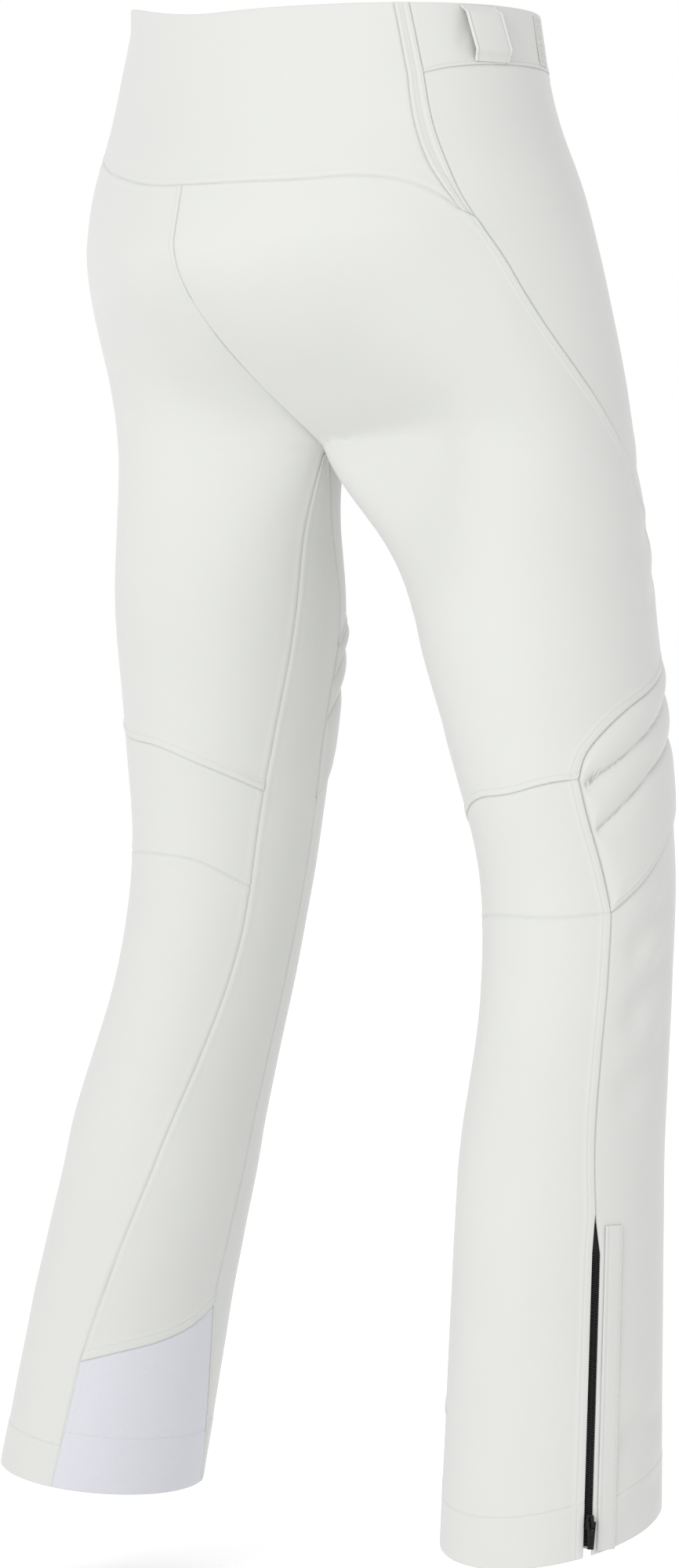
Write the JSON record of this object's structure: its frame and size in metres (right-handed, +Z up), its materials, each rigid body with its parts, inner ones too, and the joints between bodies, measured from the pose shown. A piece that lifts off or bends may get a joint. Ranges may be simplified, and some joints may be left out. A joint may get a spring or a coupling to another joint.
{
  "type": "ski pants",
  "caption": "Stretch softshell ski pants shaped as worn in a relaxed stride: high back yoke, padded knees, ankle zips, scuff guards, snow gaiters and a snapped waist tab.",
  "frame": {"origin": "centre of the waist opening, in the plane of its upper edge", "axes": "+Z up the body, -Y is the front, -X is the wearer's right"},
  "size_m": [0.5151, 0.294, 0.984],
  "materials": {
    "softshell": "smooth stretch softshell",
    "guard_cloth": "tight abrasion-proof weave",
    "foam": "soft foam",
    "zip_coil": "matt coil",
    "zip_tape": "woven tape",
    "gaiter_cloth": "light ripstop",
    "elastic": "knitted elastic with silicone",
    "pocket_cloth": "brushed tricot",
    "black_metal": "matt black paint",
    "rib_lining": "ribbed knit",
    "webbing": "woven webbing"
  },
  "bodies": {
    "garment": {"right_side_band": "softshell", "right_waistband": "softshell", "right_rear_panel": "softshell", "right_front_panel": "softshell", "right_inner_panel": "softshell", "right_knee_panel": "softshell", "right_knee_back_panel": "softshell", "right_calf_panel": "softshell", "right_shin_panel": "softshell", "right_belt_loop": "softshell", "right_leg_zip_placket": "softshell", "right_scuff_guard": "guard_cloth", "right_knee_foam": "foam", "right_leg_zip_coil": "zip_coil", "right_leg_zip_tape": "zip_tape", "right_snow_gaiter": "gaiter_cloth", "right_gaiter_elastic": "elastic", "right_pocket_zip": "zip_tape", "right_pocket_bag": "pocket_cloth", "left_side_band": "softshell", "left_waistband": "softshell", "left_rear_panel": "softshell", "left_front_panel": "softshell", "left_inner_panel": "softshell", "left_knee_panel": "softshell", "left_knee_back_panel": "softshell", "left_calf_panel": "softshell", "left_shin_panel": "softshell", "left_belt_loop": "softshell", "left_leg_zip_placket": "softshell", "left_scuff_guard": "guard_cloth", "left_knee_foam": "foam", "left_leg_zip_coil": "zip_coil", "left_leg_zip_tape": "zip_tape", "left_snow_gaiter": "gaiter_cloth", "left_gaiter_elastic": "elastic", "left_pocket_zip": "zip_tape", "left_pocket_bag": "pocket_cloth", "back_yoke": "softshell", "waist_lining": "rib_lining", "hanging_loop": "webbing", "fly_coil": "zip_coil", "fly_tape": "zip_tape", "snap_stud_1": "black_metal", "snap_stud_2": "black_metal"},
    "waist_tab_flap": {"waist_tab": "softshell", "snap_cap_1": "black_metal", "snap_cap_2": "black_metal"},
    "right_leg_zip_slider_body": {"right_leg_zip_slider": "black_metal"},
    "right_leg_zip_pull_body": {"right_leg_zip_pull": "black_metal"},
    "right_pocket_zip_slider_body": {"right_pocket_slider": "black_metal"},
    "right_pocket_zip_pull_body": {"right_pocket_pull": "black_metal"},
    "left_leg_zip_slider_body": {"left_leg_zip_slider": "black_metal"},
    "left_leg_zip_pull_body": {"left_leg_zip_pull": "black_metal"},
    "left_pocket_zip_slider_body": {"left_pocket_slider": "black_metal"},
    "left_pocket_zip_pull_body": {"left_pocket_pull": "black_metal"},
    "fly_zip_slider_body": {"fly_zip_slider": "black_metal"},
    "fly_zip_pull_body": {"fly_zip_pull": "black_metal"}
  },
  "joints": [
    {"name": "right_leg_zip_slide", "type": "slide", "parent": "garment", "child": "right_leg_zip_slider_body", "axis": [0.1151, -0.1451, 0.9827], "range_m": [0, 0.15]},
    {"name": "right_leg_zip_pull_hinge", "type": "hinge", "parent": "right_leg_zip_slider_body", "child": "right_leg_zip_pull_body", "pos_m": [-0.25461, 0.03071, -0.93081], "axis": [0.3061, 0.9463, 0.1039], "range_deg": [0, 150]},
    {"name": "right_pocket_zip_slide", "type": "slide", "parent": "garment", "child": "right_pocket_zip_slider_body", "axis": [-0.0231, -0.2255, -0.974], "range_m": [0, 0.09]},
    {"name": "right_pocket_zip_pull_hinge", "type": "hinge", "parent": "right_pocket_zip_slider_body", "child": "right_pocket_zip_pull_body", "pos_m": [-0.10561, -0.08053, -0.08212], "axis": [-0.9489, 0.3116, -0.0497], "range_deg": [0, 150]},
    {"name": "left_leg_zip_slide", "type": "slide", "parent": "garment", "child": "left_leg_zip_slider_body", "axis": [-0.1148, -0.1625, 0.98], "range_m": [0, 0.15]},
    {"name": "left_leg_zip_pull_hinge", "type": "hinge", "parent": "left_leg_zip_slider_body", "child": "left_leg_zip_pull_body", "pos_m": [0.2545, 0.08621, -0.9299], "axis": [0.308, -0.9437, -0.1204], "range_deg": [0, 150]},
    {"name": "left_pocket_zip_slide", "type": "slide", "parent": "garment", "child": "left_pocket_zip_slider_body", "axis": [0.0643, -0.0554, -0.9964], "range_m": [0, 0.09]},
    {"name": "left_pocket_zip_pull_hinge", "type": "hinge", "parent": "left_pocket_zip_slider_body", "child": "left_pocket_zip_pull_body", "pos_m": [0.10685, -0.08015, -0.06601], "axis": [-0.8876, -0.4595, -0.0318], "range_deg": [0, 150]},
    {"name": "fly_zip_slide", "type": "slide", "parent": "garment", "child": "fly_zip_slider_body", "axis": [0, -0.1493, -0.9888], "range_m": [0, 0.085]},
    {"name": "fly_zip_pull_hinge", "type": "hinge", "parent": "fly_zip_slider_body", "child": "fly_zip_pull_body", "pos_m": [0, -0.08002, -0.06054], "axis": [1, 0, 0], "range_deg": [0, 150]},
    {"name": "waist_tab_hinge", "type": "hinge", "parent": "garment", "child": "waist_tab_flap", "pos_m": [0.04701, -0.085, -0.019], "axis": [0, 0, 1], "range_deg": [0, 110]}
  ]
}
